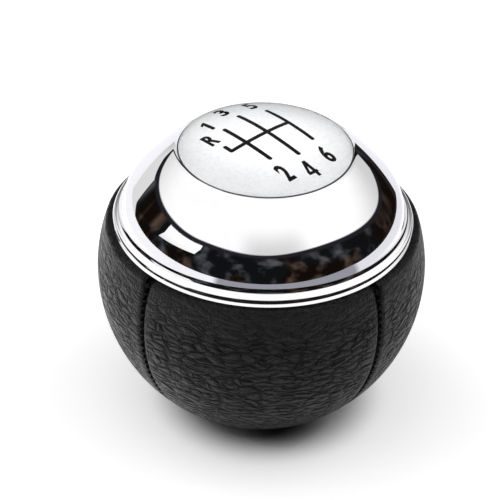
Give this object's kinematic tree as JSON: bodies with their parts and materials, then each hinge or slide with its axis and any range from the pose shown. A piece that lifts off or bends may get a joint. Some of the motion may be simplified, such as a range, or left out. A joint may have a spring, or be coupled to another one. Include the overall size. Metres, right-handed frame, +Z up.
{
  "type": "gear knob",
  "caption": "Round gear knob with a sewn leather ball, a chrome cap, a clear lens over a shift pattern, and a keyed push-on lever socket.",
  "frame": {"origin": "centre of the collar's flat foot, on the knob's axis", "axes": "+Z up the knob's axis, away from the lever; +Y towards the 1-3-5 end of the shift pattern; +X towards the 5-6 gate"},
  "size_m": [0.052, 0.052, 0.0503],
  "materials": {
    "leather": "soft grained, low sheen",
    "thread": "waxed, twisted",
    "black_moulding": "fine matt grain",
    "cast_zinc": "as cast",
    "pale_moulding": "natural nylon",
    "spring_steel": "oiled",
    "rubber": "matt",
    "chrome_plating": "mirror bright",
    "tape": "matt",
    "silver_disc": "fine silver grain with dark print",
    "clear_lens": "clear, polished"
  },
  "bodies": {
    "root": {"leather_front_right": "leather", "leather_front_left": "leather", "leather_rear_left": "leather", "leather_rear_right": "leather", "seam_thread": "thread", "base_collar": "black_moulding", "core_shell": "black_moulding", "lever_hub": "cast_zinc", "lever_sleeve": "pale_moulding", "clip_ring": "spring_steel", "end_buffer": "rubber", "cap_carrier": "black_moulding", "carrier_screws": "spring_steel", "trim_ring": "chrome_plating", "chrome_cap": "chrome_plating", "disc_tape": "tape", "pattern_disc": "silver_disc", "lens": "clear_lens"}
  },
  "joints": []
}
